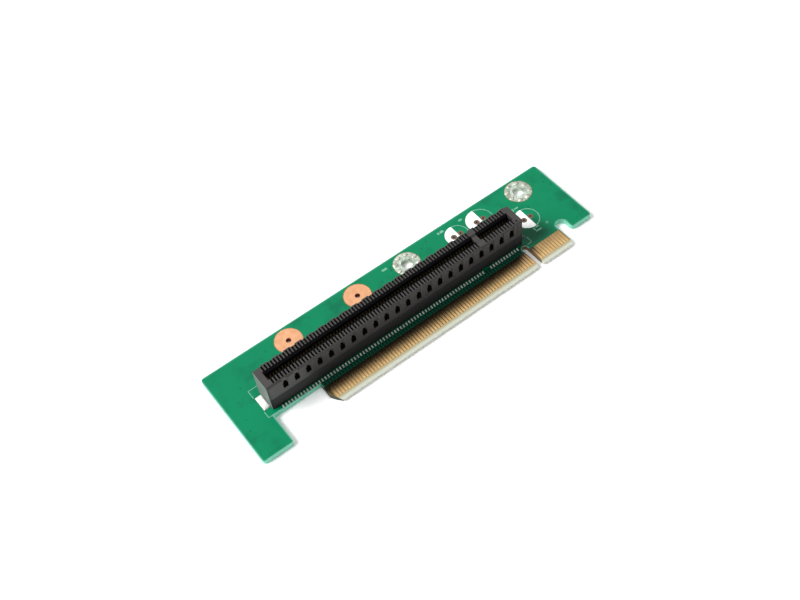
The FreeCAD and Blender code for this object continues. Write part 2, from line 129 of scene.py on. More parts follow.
@dataclass(frozen=True)
class SurfacePoint:
    """The surface point in the object's own coordinates, and shapes drawn round it."""

    tree: NodeTree
    vector: NodeSocket
    x: NodeSocket
    y: NodeSocket
    z: NodeSocket

    @classmethod
    def read(cls, tree: NodeTree) -> "SurfacePoint":
        """Read the point in a material.

        Args:
            tree: The material's node tree.

        Returns:
            The point, with its coordinates ready to use.
        """
        vector = node(tree, "TexCoord").outputs["Object"]
        split = node(tree, "SeparateXYZ", {}, {0: vector})
        return cls(tree, vector, *split.outputs)

    def facing(self, axis: int) -> NodeSocket:
        """Read how far the face is turned towards one axis: 0 for +X, 2 for +Z."""
        normal = node(self.tree, "NewGeometry").outputs["True Normal"]
        return node(self.tree, "SeparateXYZ", {}, {0: normal}).outputs[axis]

    def within_span(self, value: NodeSocket, low: float, high: float, soft: float) -> Node:
        """Draw a band that is one between two values and zero outside them.

        Args:
            value: The coordinate, in metres.
            low: The lower end in millimetres.
            high: The upper end in millimetres.
            soft: Width of the edges in millimetres.

        Returns:
            The node that carries the band.
        """
        half = soft * MM / 2
        rising = node(self.tree, "MapRange", SMOOTH, {
            "Value": value, "From Min": low * MM - half, "From Max": low * MM + half})
        falling = node(self.tree, "MapRange", SMOOTH, {
            "Value": value, "From Min": high * MM + half, "From Max": high * MM - half})
        return node(self.tree, "Math", TIMES, {0: rising, 1: falling})

    def within_box(self, left: float, right: float, low: float, high: float,
                   soft: float) -> Node:
        """Draw a rectangle on the board, with its four sides in millimetres.

        Args:
            left: Lowest X.
            right: Highest X.
            low: Lowest Y.
            high: Highest Y.
            soft: Width of the edges.

        Returns:
            The node that is one inside the rectangle.
        """
        return node(self.tree, "Math", TIMES, {
            0: self.within_span(self.x, left, right, soft),
            1: self.within_span(self.y, low, high, soft)})

    def within_disc(self, x: float, y: float, radius: float, soft: float) -> Node:
        """Draw a disc on the board, in millimetres.

        Args:
            x: X of its centre.
            y: Y of its centre.
            radius: Its radius.
            soft: Width of its edge.

        Returns:
            The node that is one inside the disc.
        """
        flat = node(self.tree, "CombineXYZ", {}, {0: self.x, 1: self.y, 2: 0.0})
        away = node(self.tree, "VectorMath", {"operation": "DISTANCE"}, {
            0: flat, 1: (x * MM, y * MM, 0.0)}).outputs["Value"]
        return node(self.tree, "MapRange", SMOOTH, {
            "Value": away, "From Min": (radius + soft / 2) * MM,
            "From Max": (radius - soft / 2) * MM})

    def patches(self, size: float, low: float, high: float, detail: float = 3.0) -> Node:
        """Scatter soft uneven patches of one size.

        Args:
            size: Width of a patch in millimetres.
            low: Noise level where a patch begins.
            high: Noise level where it is full.
            detail: Octaves of the noise.

        Returns:
            The node that is one in the middle of a patch.
        """
        level = node(self.tree, "TexNoise", {}, {
            "Vector": self.vector, "Scale": 1 / (size * MM), "Detail": detail,
            "Roughness": 0.6})
        return node(self.tree, "MapRange", SMOOTH, {
            "Value": level, "From Min": low, "From Max": high})


def begin_material(name: str) -> tuple[Material, Node, SurfacePoint]:
    """Make an empty node material with its shader already wired.

    Args:
        name: The material's name.

    Returns:
        The material, its Principled shader and the surface point.
    """
    material = bpy.data.materials.new(name)
    material.use_nodes = True
    tree = material.node_tree
    tree.nodes.clear()
    shader = node(tree, "BsdfPrincipled")
    node(tree, "OutputMaterial", {}, {"Surface": shader})
    return material, shader, SurfacePoint.read(tree)


def wire_surface(shader: Node, colour: Node, roughness: Node | float, height: Node,
                 depth: float) -> None:
    """Join colour, roughness and relief to a material's shader.

    Args:
        shader: The material's Principled shader.
        colour: The node that gives the colour.
        roughness: The node that gives the roughness, or one value.
        height: The node that gives the relief, from zero to one.
        depth: The relief's depth in millimetres.
    """
    relief = node(shader.id_data, "Bump", {}, {
        "Height": height, "Distance": depth * MM, "Strength": RELIEF})
    feed(shader.inputs["Base Color"], colour)
    feed(shader.inputs["Roughness"], roughness)
    feed(shader.inputs["Normal"], relief)


def finish_mesh(name: str, shape: BMesh, material: Material,
                smooth: bool = False) -> Object:
    """Turn a bmesh into a piece of the card.

    Args:
        name: The piece's name.
        shape: The finished bmesh, in metres; it is freed.
        material: The piece's finish.
        smooth: Whether its faces are shaded smooth.

    Returns:
        The new object, riding on the card's one body.
    """
    bmesh.ops.recalc_face_normals(shape, faces=shape.faces)
    mesh = bpy.data.meshes.new(name)
    shape.to_mesh(mesh)
    shape.free()
    for face in mesh.polygons:
        face.use_smooth = smooth
    mesh.materials.append(material)
    piece = bpy.data.objects.new(name, mesh)
    bpy.context.scene.collection.objects.link(piece)
    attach(piece, "root")
    LOG.info("made %s with %d faces", name, len(mesh.polygons))
    return piece


def add_block(shape: BMesh, low: Vector, high: Vector, bevel: float = 0.0) -> list[BMVert]:
    """Add a block between two corners, with its edges eased.

    Args:
        shape: The bmesh to add to.
        low: The lowest corner.
        high: The highest corner.
        bevel: Width of the eased edge, or zero for a sharp one.

    Returns:
        The block's vertices before any bevel.
    """
    size = high - low
    where = Matrix.Translation((low + high) / 2) @ Matrix.Diagonal((*size, 1.0))
    made = bmesh.ops.create_cube(shape, size=1.0, matrix=where)["verts"]
    if bevel > 0:
        edges = list({e for v in made for e in v.link_edges})
        bmesh.ops.bevel(shape, geom=edges, offset=bevel, offset_type="OFFSET",
                        segments=1, profile=0.5, affect="EDGES", material=-1)
    return made


def add_ring(shape: BMesh, centre: Vector, inner: float, outer: float, height: float,
             start: float = 0.0, turn: float = math.tau, steps: int = 48) -> None:
    """Spin a rectangle into a flat ring or a part of one.

    Args:
        shape: The bmesh to add to.
        centre: Middle of the ring at its underside.
        inner: Inner radius.
        outer: Outer radius.
        height: Height of the section.
        start: Angle of the first end, from +X.
        turn: How far the ring goes round.
        steps: Segments along the turn.
    """
    side = Vector((math.cos(start), math.sin(start), 0))
    lift = Vector(UP) * height
    section = (side * inner, side * outer, side * outer + lift, side * inner + lift)
    verts = [shape.verts.new(centre + corner) for corner in section]
    face = shape.faces.new(verts)
    if turn == math.tau:
        edges = list(face.edges)
        shape.faces.remove(face)
        bmesh.ops.spin(shape, geom=verts + edges, cent=centre, axis=UP,
                       angle=turn, steps=steps, use_merge=True)
        return
    bmesh.ops.spin(shape, geom=[face], cent=centre, axis=UP, angle=turn,
                   steps=steps, use_duplicate=False)


def add_dome(shape: BMesh, centre: Vector, radius: float, height: float, segments: int = 16,
             rings: int = 4) -> None:
    """Add a shallow closed dome, such as a spot of solder.

    Args:
        shape: The bmesh to add to.
        centre: Middle of its flat underside.
        radius: Its radius.
        height: How far it rises.
        segments: Sides round it.
        rings: Rings from rim to top.
    """
    where = Matrix.Translation(centre) @ Matrix.Diagonal((radius, radius, height, 1.0))
    made = bmesh.ops.create_uvsphere(shape, u_segments=segments, v_segments=rings * 2,
                                     radius=1.0, matrix=where)["verts"]
    geom = list(made) + list({e for v in made for e in v.link_edges})
    geom += list({f for v in made for f in v.link_faces})
    cut = bmesh.ops.bisect_plane(shape, geom=geom, plane_co=centre, plane_no=UP,
                                 clear_inner=True, dist=1e-9)
    rim = [e for e in cut["geom_cut"] if isinstance(e, BMEdge)]
    if rim:
        bmesh.ops.edgeloop_fill(shape, edges=rim)


# ---- Finishes ----
@dataclass(frozen=True)
class BoardOutline:
    """The board's edges in millimetres, as the masks of its finish need them."""

    left: float = -61.05
    right: float = 61.05
    top: float = 16.55
    bottom: float = -16.55
    lower: float = -6.2
    leg_right: float = -51.25
    tab_left: float = -35.75
    tab_right: float = 49.85
    tab_tip: float = -14.1
    bevel_top: float = -13.2
    finger_high: float = -7.85
    hook_x: float = 51.65
    hook_right: float = 53.45
    hook_spring: float = -6.85
    hook_radius: float = 1.8
    key_x: float = 37.4
    key_spring: float = -6.75
    key_radius: float = 0.95
    lobe_bottom: float = -9.55
    land_y: float = 11.55
    tinned_lands: tuple[float, ...] = (7.6, 50.35)
    copper_lands: tuple[float, ...] = (-34.55, -10.4)
    land_radius: float = 4.15
    first_finger: float = 35.9
    finger_pitch: float = 1.0
    long_group: tuple[float, float] = (-50.0, 40.0)


@dataclass(frozen=True)
class SolderMask:
    """Liquid screen-coated solder mask, cured over copper and over bare glass epoxy.

    The eye gets a smooth satin green lacquer: full green where the copper pour lies under
    it, darker with thin tracks in front of the slot, where the dark is partly the bare
    laminate and partly painted shade of the slot, darker again as painted shadow by the
    slot's short end, and a pale mint rim where light comes back out of the glass epoxy
    along the routed edges.
    """

    over_copper: str = "#007d54"
    over_copper_worn: str = "#006a48"
    over_laminate_and_shade: str = "#12332a"
    rim: str = "#65a690"
    via: str = "#04402b"
    bare_window: str = "#9a8558"
    bare_thread: str = "#6f603d"
    bare_shade: str = "#221f15"
    routed_edge: str = "#7ed4b8"
    routed_patch: str = "#9fdcc8"
    tab_flank_shade: str = "#4a4d44"
    milled_bevel: str = "#d4d8c8"
    bevel_top: str = "#b9b08e"
    notch_wall_and_shade: str = "#77654b"
    rim_width: float = 0.3
    rim_soft: float = 0.35
    clearance: float = 0.14
    crisp: float = 0.06
    via_spacing: float = 2.7
    track_half: tuple[float, float] = (0.24, 0.14)
    thread: float = 0.5
    shade_span: tuple[float, float] = (-12.2, -9.2)
    painted_slot_shadow: tuple[float, float, float, float] = (38.0, 47.5, -7.5, 1.0)
    outline: BoardOutline = BoardOutline()

    def copper_pour(self, at: SurfacePoint) -> Node:
        """Mark where the mask keeps clear of the routed edges.

        Args:
            at: The surface point.

        Returns:
            The node that is one away from the board's edges.
        """
        o, rim, middle = self.outline, self.rim_width, 0.0
        boxes = ((o.left + rim, o.right - rim, o.lower + rim, o.top - rim),
                 (o.left + rim, o.leg_right - rim, o.bottom + rim, middle),
                 (o.hook_right + rim, o.right - rim, o.lobe_bottom + rim, middle),
                 (o.tab_left + rim, o.tab_right - rim, o.tab_tip, middle))
        area = at.within_box(*boxes[0], self.rim_soft)
        for box in boxes[1:]:
            area = node(at.tree, "Math", {"operation": "MAXIMUM"}, {
                0: area, 1: at.within_box(*box, self.rim_soft)})
        for x, y, radius in ((o.hook_x, o.hook_spring, o.hook_radius),
                             (o.key_x, o.key_spring, o.key_radius)):
            ring = at.within_disc(x, y, radius + rim, self.rim_soft)
            area = node(at.tree, "Math", {"operation": "SUBTRACT", "use_clamp": True}, {
                0: area, 1: ring})
        return area

    def openings(self, at: SurfacePoint) -> Node:
        """Mark the openings in the mask, over the fingers and round the lands.

        Args:
            at: The surface point.

        Returns:
            The node that is one where the laminate is bare.
        """
        o, past = self.outline, 1.0
        area = at.within_box(o.tab_left - past, o.tab_right + 0.01, o.tab_tip - past,
                             o.finger_high + 0.15, self.crisp)
        for x in o.tinned_lands + o.copper_lands:
            window = at.within_disc(x, o.land_y, o.land_radius + self.clearance, self.crisp)
            area = node(at.tree, "Math", {"operation": "MAXIMUM"}, {0: area, 1: window})
        return area

    def lacquer(self, at: SurfacePoint) -> Node:
        """Colour the mask on the two faces of the board.

        Args:
            at: The surface point.

        Returns:
            The node that gives the face's colour.
        """
        o, tree = self.outline, at.tree
        green = node(tree, "Mix", RGBA, {
            "Factor": at.patches(7.0, 0.45, 0.75), "A": self.over_copper,
            "B": self.over_copper_worn})
        # masked vias, about 0.5 mm across and a few millimetres apart
        cells = node(tree, "TexVoronoi", {}, {
            "Vector": at.vector, "Scale": 1 / (self.via_spacing * MM)})
        dots = node(tree, "MapRange", SMOOTH, {
            "Value": cells.outputs["Distance"], "From Min": 0.17, "From Max": 0.09,
            "To Max": 0.5})
        dots = node(tree, "Math", TIMES, {0: dots, 1: at.patches(9.0, 0.4, 0.55, 1.0)})
        green = node(tree, "Mix", RGBA, {"Factor": dots, "A": green, "B": self.via})
        # one track runs from each finger to its foot, about 0.4 mm wide at 1 mm pitch
        beat = node(tree, "Math", {"operation": "SUBTRACT"}, {
            0: at.x, 1: o.first_finger * MM})
        beat = node(tree, "Math", {"operation": "PINGPONG"}, {
            0: beat, 1: o.finger_pitch * MM / 2})
        outer, inner = self.track_half
        track = node(tree, "MapRange", SMOOTH, {
            "Value": beat, "From Min": outer * MM, "From Max": inner * MM, "To Max": 0.35})
        tracks = node(tree, "Mix", RGBA, {
            "Factor": track, "A": self.over_laminate_and_shade, "B": self.over_copper})
        # in front of the slot the mask is dark: partly bare laminate with its tracks, partly
        # painted shade of the slot
        apron = at.within_box(o.tab_left - 0.6, o.key_x + 1.2, o.tab_tip, -5.2, 0.8)
        green = node(tree, "Mix", RGBA, {"Factor": apron, "A": green, "B": tracks})
        # painted shadow: the mask is darkened beside the slot's short end, where the slot's
        # shadow falls
        painted_slot_shadow = node(tree, "Math", TIMES, {0: at.within_box(*self.painted_slot_shadow, 5.0), 1: 0.6})
        green = node(tree, "Mix", RGBA, {
            "Factor": painted_slot_shadow, "A": green, "B": self.over_laminate_and_shade})
        return node(tree, "Mix", RGBA, {
            "Factor": self.copper_pour(at), "A": self.rim, "B": green})

    def cut_edges(self, at: SurfacePoint, sloped: Node) -> Node:
        """Colour the routed edges, the key notch and the milled bevel.

        Args:
            at: The surface point.
            sloped: The node that is one on the bevel's slopes and zero on upright walls.

        Returns:
            The node that gives the edges' colour.
        """
        o, tree = self.outline, at.tree
        below, flank_end = o.tab_tip - 1, o.tab_left + 2.4
        edge = node(tree, "Mix", RGBA, {
            "Factor": at.patches(0.35, 0.4, 0.8), "A": self.routed_edge,
            "B": self.routed_patch})
        # the tab's left flank is painted dark as a painted reflection of shade, and the key
        # notch's wall is bare epoxy brown darkened as painted shade
        for box, colour in (
                ((o.tab_left - 0.3, flank_end, below, o.lower - 0.2), self.tab_flank_shade),
                ((flank_end, o.tab_right + 0.5, below, o.bevel_top), self.milled_bevel),
                ((o.key_x - 1.1, o.key_x + 1.1, o.bevel_top, -5.6), self.notch_wall_and_shade)):
            edge = node(tree, "Mix", RGBA, {
                "Factor": at.within_box(*box, 0.3), "A": edge, "B": colour})
        slope = node(tree, "Mix", RGBA, {
            "Factor": at.within_span(at.y, o.bevel_top - 0.05, -12.0, 0.7),
            "A": self.milled_bevel, "B": self.bevel_top})
        return node(tree, "Mix", RGBA, {"Factor": sloped, "A": edge, "B": slope})

    def bare_epoxy(self, at: SurfacePoint) -> Node:
        """Colour the laminate where the mask leaves it bare.

        Args:
            at: The surface point.

        Returns:
            The node that gives the laminate's colour.
        """
        tree = at.tree
        # the glass cloth shows as threads about 0.5 mm apart
        weave = node(tree, "TexWave", {"wave_type": "BANDS"}, {
            "Vector": at.vector, "Scale": 1 / (self.thread * MM) / math.tau,
            "Distortion": 1.5})
        epoxy = node(tree, "Mix", RGBA, {
            "Factor": weave.outputs["Fac"], "A": self.bare_window, "B": self.bare_thread})
        # painted shade: darker towards the mask between the long group's fingers, where the
        # slot's shade falls
        clean, dark = self.shade_span
        slot_shade = node(tree, "MapRange", {}, {
            "Value": at.y, "From Min": clean * MM, "From Max": dark * MM})
        between = at.within_box(*self.outline.long_group, -16.0, 0.0, 2.0)
        slot_shade = node(tree, "Math", TIMES, {0: slot_shade, 1: between})
        return node(tree, "Mix", RGBA, {"Factor": slot_shade, "A": epoxy, "B": self.bare_shade})

    def make(self) -> Material:
        """Build the board's material.

        Returns:
            The finished material.
        """
        material, shader, at = begin_material("green_solder_mask_on_glass_epoxy")
        tree = at.tree
        upward = node(tree, "Math", {"operation": "ABSOLUTE"}, {0: at.facing(2)})
        flat = node(tree, "MapRange", SMOOTH, {
            "Value": upward, "From Min": 0.95, "From Max": 0.99})
        sloped = node(tree, "MapRange", {}, {
            "Value": upward, "From Min": 0.5, "From Max": 0.7})
        bare = self.openings(at)
        face = node(tree, "Mix", RGBA, {
            "Factor": bare, "A": self.lacquer(at), "B": self.bare_epoxy(at)})
        colour = node(tree, "Mix", RGBA, {
            "Factor": flat, "A": self.cut_edges(at, sloped), "B": face})
        covered = node(tree, "Math", {"operation": "SUBTRACT", "use_clamp": True}, {
            0: flat, 1: bare})
        rough = node(tree, "MapRange", {}, {"Value": covered, "To Min": 0.65, "To Max": 0.3})
        shader.inputs["IOR"].default_value = 1.52
        shader.inputs["Specular IOR Level"].default_value = 0.1
        wire_surface(shader, colour, rough, at.patches(1.2, 0.2, 0.8), 0.012)
        return material


@dataclass(frozen=True)
class MouldedPlastic:
    """Glass-filled liquid crystal polymer, injection moulded black.

    It comes out of the mould a very dark grey, with a soft sheen and the streaks of its
    glass fibre along the length.
    """

    body: str = "#2e2c2b"
    streak: str = "#3c3a39"
    dull: str = "#19191a"
    hollow: str = "#101011"
    lit_end_tone: str = "#686f6c"
    streak_width: float = 1.3
    skirt: float = 4.6
    chamber_outer: float = 3.28
    chamber_top: float = 9.2
    lit_end_span: tuple[float, float] = (-50.8, -50.0)

    def make(self) -> Material:
        """Build the housing's material.

        Returns:
            The finished material.
        """
        material, shader, at = begin_material("moulded_black_polymer")
        tree, below = at.tree, -1.0
        drawn = node(tree, "Mapping", {}, {"Vector": at.vector, "Scale": (0.2, 1.0, 1.0)})
        flow = node(tree, "TexNoise", {}, {
            "Vector": drawn, "Scale": 1 / (self.streak_width * MM), "Detail": 4.0})
        colour = node(tree, "Mix", RGBA, {
            "Factor": flow.outputs[0], "A": self.body, "B": self.streak})
        # the skirt below the panel is rougher than the band above it, and darker as painted
        # shade near the board
        skirt = at.within_span(at.z, below, BOARD_TOP + self.skirt, 0.5)
        colour = node(tree, "Mix", RGBA, {"Factor": skirt, "A": colour, "B": self.dull})
        # deep chambers: their backs lie in full shade
        off_centre = node(tree, "Math", {"operation": "SUBTRACT"}, {0: at.y, 1: SLOT_Y * MM})
        off_centre = node(tree, "Math", {"operation": "ABSOLUTE"}, {0: off_centre})
        chambers = node(tree, "Math", TIMES, {
            0: at.within_span(off_centre.outputs[0], -0.1, self.chamber_outer, 0.04),
            1: at.within_span(at.z, BOARD_TOP, BOARD_TOP + self.chamber_top, 1.2)})
        colour = node(tree, "Mix", RGBA, {"Factor": chambers, "A": colour, "B": self.hollow})
        # painted light: the end face turned towards -X is a paler grey, as if lit from the
        # left
        lit_end_face = node(tree, "MapRange", {}, {
            "Value": at.facing(0), "From Min": -0.8, "From Max": -0.95})
        lit_end_face = node(tree, "Math", TIMES, {
            0: lit_end_face, 1: at.within_span(at.x, *self.lit_end_span, 0.1)})
        colour = node(tree, "Mix", RGBA, {"Factor": lit_end_face, "A": colour, "B": self.lit_end_tone})
        rough = node(tree, "MapRange", {}, {
            "Value": flow.outputs[0], "To Min": 0.38, "To Max": 0.56})
        rough = node(tree, "Math", {"operation": "MULTIPLY_ADD"}, {
            0: skirt, 1: 0.3, 2: rough})
        shader.inputs["IOR"].default_value = 1.6
        shader.inputs["Specular IOR Level"].default_value = 0.35
        wire_surface(shader, colour, rough, at.patches(0.16, 0.3, 0.7), 0.008)
        return material


@dataclass(frozen=True)
class Plating:
    """A bare metal surface: plated, tinned, soldered or left as coated copper.

    Two tones in soft patches and a roughness that follows them give the eye the slight
    unevenness of a bath or a hot-air knife. A bore's wall, where there is one, is given a
    darker colour as painted shade.
    """

    name: str
    base: str
    shade: str
    roughness: float
    spread: float
    patch: float
    relief: float
    metallic: float = 1.0
    wall: str = ""

    def make(self) -> Material:
        """Build the metal's material.

        Returns:
            The finished material.
        """
        material, shader, at = begin_material(self.name)
        cloud = at.patches(self.patch, 0.3, 0.7)
        colour = node(at.tree, "Mix", RGBA, {
            "Factor": cloud, "A": self.base, "B": self.shade})
        # painted shade: upright faces, such as a bore's wall, take the darker wall colour
        if self.wall:
            level = node(at.tree, "Math", {"operation": "ABSOLUTE"}, {0: at.facing(2)})
            colour = node(at.tree, "Mix", RGBA, {
                "Factor": level, "A": self.wall, "B": colour})
        rough = node(at.tree, "MapRange", {}, {
            "Value": cloud, "To Min": self.roughness, "To Max": self.roughness + self.spread})
        shader.inputs["Metallic"].default_value = self.metallic
        wire_surface(shader, colour, rough, cloud, self.relief)
        return material


@dataclass(frozen=True)
class FingerGold:
    """Hard gold plated over nickel on the card edge.

    It is bright gold in soft patches of wear, and turns brown towards the mask as painted
    reflection and shade of the dark slot in front of it.
    """

    bright: str = "#cdab78"
    patchy: str = "#c29b68"
    brown: str = "#4f4030"
    reflection_from: float = -12.2
    reflection_to: float = -8.2
    short_reflection_share: float = 0.55
    roughness: float = 0.24
    outline: BoardOutline = BoardOutline()

    def make(self) -> Material:
        """Build the fingers' material.

        Returns:
            The finished material.
        """
        material, shader, at = begin_material("hard_gold_plating")
        cloud = at.patches(2.2, 0.3, 0.7)
        wiped = node(at.tree, "Mix", RGBA, {
            "Factor": cloud, "A": self.bright, "B": self.patchy})
        # painted reflection and shade of the slot: browner towards the mask
        slot_reflection = node(at.tree, "MapRange", {}, {
            "Value": at.y, "From Min": self.reflection_from * MM, "From Max": self.reflection_to * MM})
        # the short group lies past the slot's end, so it gets less of the painted reflection
        share = node(at.tree, "MapRange", {}, {
            "Value": at.within_span(at.x, *self.outline.long_group, 2.0),
            "To Min": self.short_reflection_share})
        slot_reflection = node(at.tree, "Math", TIMES, {0: slot_reflection, 1: share})
        colour = node(at.tree, "Mix", RGBA, {"Factor": slot_reflection, "A": wiped, "B": self.brown})
        shader.inputs["Metallic"].default_value = 1.0
        wire_surface(shader, colour, self.roughness, cloud, 0.002)
        return material


@dataclass(frozen=True)
class CavityBlack:
    """Painted shade for plastic in a cavity, where next to no light comes back: a flat, near
    dead black.
    """

    name: str = "moulded_polymer_in_shade"
    colour: str = "#040404"
    speck: str = "#080808"

    def make(self) -> Material:
        """Build the cavities' material.

        Returns:
            The finished material.
        """
        material, shader, at = begin_material(self.name)
        grain = at.patches(0.3, 0.3, 0.7)
        colour = node(at.tree, "Mix", RGBA, {
            "Factor": grain, "A": self.colour, "B": self.speck})
        shader.inputs["Specular IOR Level"].default_value = 0.0
        wire_surface(shader, colour, 0.9, grain, 0.005)
        return material


@dataclass(frozen=True)
class ContactMetal:
    """Phosphor bronze strip, gold flashed in the slot and tinned at its soldered foot.

    The sprung part is a dull yellow brown, and the foot is a dull grey, darkened as painted
    shade from the slot wall above it.
    """

    gold: str = "#8b8168"
    tin: str = "#939a94"
    shaded_tin: str = "#6d746f"
    foot_top: float = 2.3

    def make(self) -> Material:
        """Build the contacts' material.

        Returns:
            The finished material.
        """
        material, shader, at = begin_material("bronze_strip_with_tinned_foot")
        cloud = at.patches(0.5, 0.3, 0.7)
        tin = node(at.tree, "Mix", RGBA, {"Factor": cloud, "A": self.tin, "B": self.shaded_tin})
        colour = node(at.tree, "Mix", RGBA, {
            "Factor": at.within_span(at.z, -1.0, self.foot_top, 0.3), "A": self.gold,
            "B": tin})
        shader.inputs["Metallic"].default_value = 1.0
        wire_surface(shader, colour, 0.32, cloud, 0.01)
        return material


@dataclass(frozen=True)
class LegendInk:
    """Screen-printed epoxy legend ink.

    A filled area is opaque white; a thin line lets the green through and looks minty.
    """

    name: str
    colour: str
    thin: str

    def make(self) -> Material:
        """Build the ink's material.

        Returns:
            The finished material.
        """
        material, shader, at = begin_material(self.name)
        mesh_mark = at.patches(0.5, 0.4, 0.75)
        colour = node(at.tree, "Mix", RGBA, {
            "Factor": mesh_mark, "A": self.colour, "B": self.thin})
        shader.inputs["Specular IOR Level"].default_value = 0.3
        wire_surface(shader, colour, 0.55, mesh_mark, 0.004)
        return material


# ---- The board's surface ----
@dataclass
class Legend:
    """White ink on the board's front: the slot's outline, the part outlines and marks."""

    solid: Material
    line: Material
    height: float = 0.018
    line_width: float = 0.2
    outline: tuple[float, float, float, float] = (-52.6, 40.65, -6.02, 4.65)
    pad_gap: tuple[float, float] = (-3.75, 1.75)
    corner: float = 2.0
    near_stubs: tuple[float, float] = (4.4, 1.6)
    ring_width: float = 0.25
    ring_gap: float = 0.1
    clear: float = 0.95
    fill_edge: float = 0.45
    marks: tuple[tuple[float, float, float, float], ...] = (
        (0.3, 2.0, 13.7, 14.45), (21.2, 21.9, 14.0, 14.8), (22.15, 23.4, 14.0, 14.8),
        (29.2, 30.4, 14.0, 14.7), (44.0, 44.4, 6.3, 7.4), (44.7, 46.2, 6.6, 7.1),
        (44.2, 46.3, -4.1, -3.7), (44.2, 44.6, -3.5, -2.4), (45.0, 46.3, -2.8, -2.4),
        (48.5, 49.4, -3.5, -3.15), (48.8, 49.15, -3.8, -2.8))

    def bar(self, shape: BMesh, left: float, right: float, low: float, high: float) -> None:
        """Print one straight bar between four sides in millimetres."""
        add_block(shape, Vector((left, low, BOARD_TOP)) * MM,
                  Vector((right, high, BOARD_TOP + self.height)) * MM)

    def build_slot_outline(self) -> None:
        """Print the thin outline round the slot, broken at the hold-down pads."""
        shape = bmesh.new()
        left, right, low, high = self.outline
        half, corner = self.line_width / 2, self.corner
        near, far = self.pad_gap
        for x in (left, right):
            self.bar(shape, x - half, x + half, low, near)
            self.bar(shape, x - half, x + half, far, high)
        for start, end, y in (
                (left, left + corner, high), (right - corner, right, high),
                (left, left + self.near_stubs[0], low),
                (right - self.near_stubs[1], right, low),
                (left + corner, right - corner, high)):
            self.bar(shape, start, end, y - half, y + half)
        finish_mesh("legend_slot_outline", shape, self.line)

    def build_capacitor(self, number: int, x: float, y: float, radius: float) -> None:
        """Print one round capacitor outline with its filled half.

        Args:
            number: The place's number, from one.
            x: X of its middle in millimetres.
            y: Y of its middle.
            radius: Radius of the outline.
        """
        middle = Vector((x, y, BOARD_TOP)) * MM
        filled = bmesh.new()
        disc = bmesh.ops.create_circle(
            filled, cap_ends=True, radius=radius * MM, segments=72,
            matrix=Matrix.Translation(middle))["verts"]
        geom = list(disc) + list(filled.edges) + list(filled.faces)
        bmesh.ops.bisect_plane(filled, geom=geom, clear_outer=True, dist=1e-9,
                               plane_co=middle + Vector((self.fill_edge * MM, 0, 0)),
                               plane_no=(1, 0, 0))
        bmesh.ops.delete(filled, geom=list(filled.faces), context="FACES_ONLY")
        pin = Matrix.Translation(middle - Vector((PIN_PITCH / 2 * MM, 0, 0)))
        bmesh.ops.create_circle(filled, radius=self.clear * MM, segments=28, matrix=pin)
        bmesh.ops.triangle_fill(filled, use_beauty=True, edges=list(filled.edges),
                                normal=UP)
        raised = bmesh.ops.extrude_face_region(filled, geom=list(filled.faces))["geom"]
        lifted = [v for v in raised if isinstance(v, BMVert)]
        bmesh.ops.translate(filled, verts=lifted, vec=(0, 0, self.height * MM))
        finish_mesh(f"legend_capacitor_{number}_fill", filled, self.solid)
        thin = bmesh.new()
        add_ring(thin, middle, (radius - self.ring_width) * MM, radius * MM,
                 self.height * MM, -math.pi / 2 + self.ring_gap,
                 math.pi - 2 * self.ring_gap, 40)
        finish_mesh(f"legend_capacitor_{number}_line", thin, self.line)

    def build_marks(self) -> None:
        """Print the small plain marks beside the parts."""
        shape = bmesh.new()
        for mark in self.marks:
            self.bar(shape, *mark)
        finish_mesh("legend_marks", shape, self.line)

    def build(self) -> None:
        """Print the whole legend."""
        self.build_slot_outline()
        for number, place in enumerate(CAPACITORS, 1):
            self.build_capacitor(number, *place)
        self.build_marks()


@dataclass
class PinLands:
    """Copper lands and plated walls of the capacitors' empty holes."""

    copper: Material
    bore: float = 0.375
    plating: float = 0.06
    land: float = 0.875
    thick: float = 0.03
    low: float = 0.04
    sleeve_fit: float = 0.998

    def build(self) -> None:
        """Turn every land and sleeve and join them as one piece."""
        shape = bmesh.new()
        inner = (self.bore - self.plating) * MM
        for x, y, _ in CAPACITORS:
            for side in (-0.5, 0.5):
                for z in (self.low - self.thick, BOARD_TOP):
                    add_ring(shape, Vector((x + side * PIN_PITCH, y, z)) * MM, inner,
                             self.land * MM, self.thick * MM, steps=32)
                add_ring(shape, Vector((x + side * PIN_PITCH, y, self.low)) * MM, inner,
                         self.bore * self.sleeve_fit * MM, (BOARD_TOP - self.low) * MM,
                         steps=24)
        finish_mesh("capacitor_pin_lands", shape, self.copper)


@dataclass
class LandSolder:
    """Spots of tinning left by the paste openings round each mounting hole."""

    tin: Material
    centres: tuple[tuple[str, float], ...] = (("left", 7.6), ("right", 50.35))
    y: float = 11.55
    reach: float = 3.45
    count: int = 8
    turned: float = 0.35
    radius: float = 0.78
    rise: float = 0.16
    uneven: float = 0.12
    beat: float = 2.4
    base: float = LAND_TOP - 0.01

    def build(self) -> None:
        """Dot each land with its ring of spots."""
        for name, x in self.centres:
            shape = bmesh.new()
            for index in range(self.count):
                angle = math.tau * (index + self.turned) / self.count
                grow = 1.0 + self.uneven * math.sin(index * self.beat + x)
                add_dome(shape, Vector((x + self.reach * math.cos(angle),
                                        self.y + self.reach * math.sin(angle),
                                        self.base)) * MM,
                         self.radius * grow * MM, self.rise * grow * MM)
            finish_mesh(f"mount_land_solder_{name}", shape, self.tin, True)


